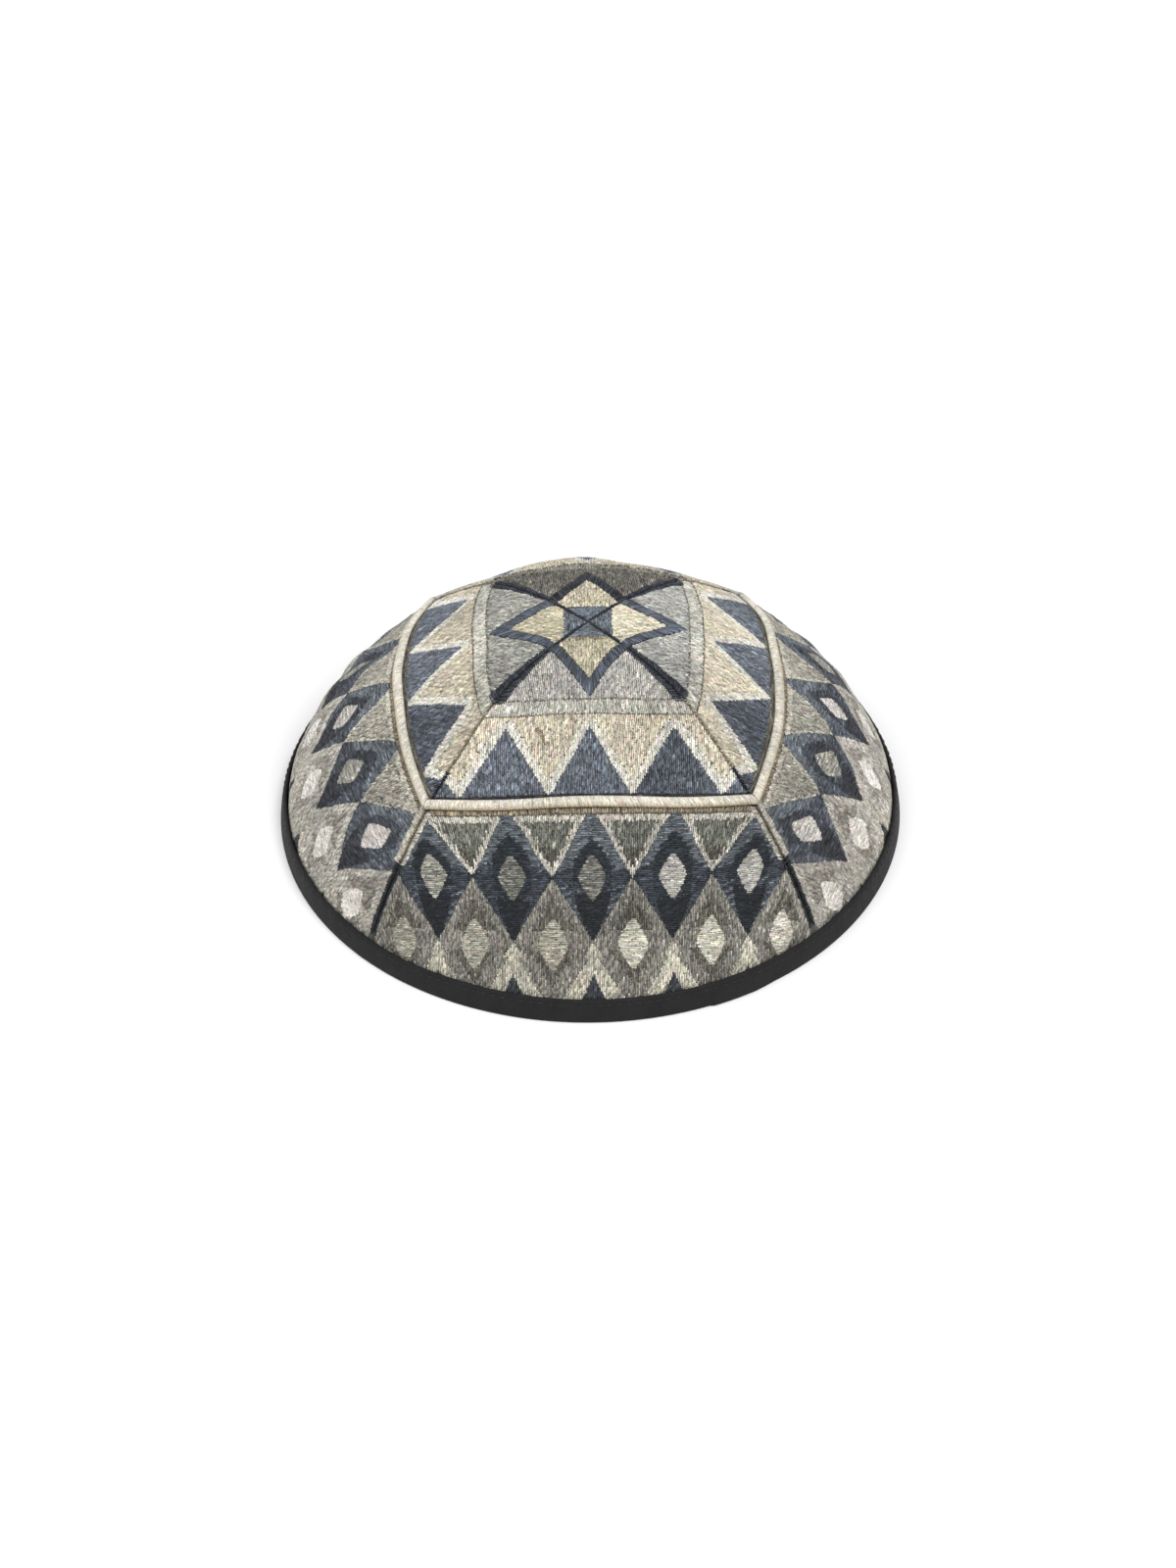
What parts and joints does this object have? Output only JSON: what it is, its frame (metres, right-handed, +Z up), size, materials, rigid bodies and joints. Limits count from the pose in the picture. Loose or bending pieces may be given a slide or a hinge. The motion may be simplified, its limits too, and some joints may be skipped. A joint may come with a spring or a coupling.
{
  "type": "kippah",
  "caption": "Round embroidered kippah: domed crown of sewn gussets with seams crossing at the top, raised cords in a square and a folded black binding round the rim.",
  "frame": {"origin": "centre of the rim's flat underside, on the surface that the kippah rests on", "axes": "+Z up through the crown, -Y towards the wearer's front gusset, +X to the gusset on the right of the picture"},
  "size_m": [0.1648, 0.1648, 0.0642],
  "materials": {
    "embroidered_cloth": "dense silky machine embroidery in slate blue, grey and cream thread",
    "satin_cord": "raised cream satin stitch over a cord",
    "binding_tape": "matte black woven tape, folded over the rim"
  },
  "bodies": {
    "root": {"gusset_front": "embroidered_cloth", "gusset_right": "embroidered_cloth", "gusset_back": "embroidered_cloth", "gusset_left": "embroidered_cloth", "cord_front": "satin_cord", "cord_right": "satin_cord", "cord_back": "satin_cord", "cord_left": "satin_cord", "rim_binding": "binding_tape"}
  },
  "joints": []
}
